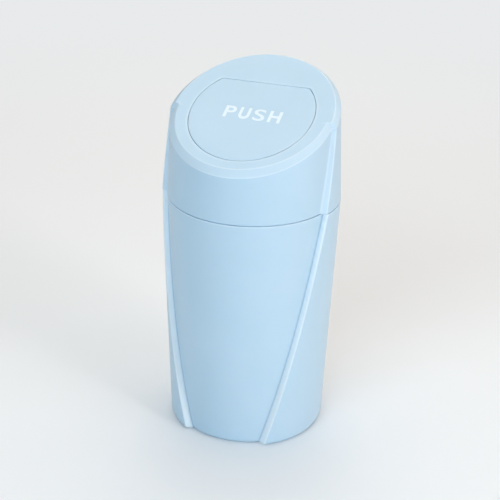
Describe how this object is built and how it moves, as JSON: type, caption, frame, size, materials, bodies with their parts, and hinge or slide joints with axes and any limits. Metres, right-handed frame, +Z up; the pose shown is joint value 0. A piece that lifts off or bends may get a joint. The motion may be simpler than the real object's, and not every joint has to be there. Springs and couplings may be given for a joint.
{
  "type": "car trash bin",
  "caption": "Small lidded trash bin for a car cup holder, with a slanted lift-off lid and a sprung push flap.",
  "frame": {"origin": "on the bin's axis, in the plane that it stands on", "axes": "+Z up the axis; -Y towards the front, the low side of the lid; +X to the right of someone who faces the front"},
  "size_m": [0.08, 0.0773, 0.166],
  "materials": {
    "shell_plastic": "satin",
    "steel": "bright"
  },
  "bodies": {
    "bin": {"bin_body": "shell_plastic"},
    "cap": {"cap_shell": "shell_plastic", "hinge_pin": "steel", "flap_spring": "steel"},
    "flap": {"push_flap": "shell_plastic"}
  },
  "joints": [
    {"name": "cap_lift", "type": "slide", "parent": "bin", "child": "cap", "axis": [0, 0, 1], "range_m": [0, 0.04]},
    {"name": "flap_hinge", "type": "hinge", "parent": "cap", "child": "flap", "pos_m": [0, 0.02107, 0.15449], "axis": [1, 0, 0], "range_deg": [0, 65], "stiffness_Nm_per_rad": 0.012, "springref_deg": -40.11, "deforming": ["flap_spring"]}
  ]
}
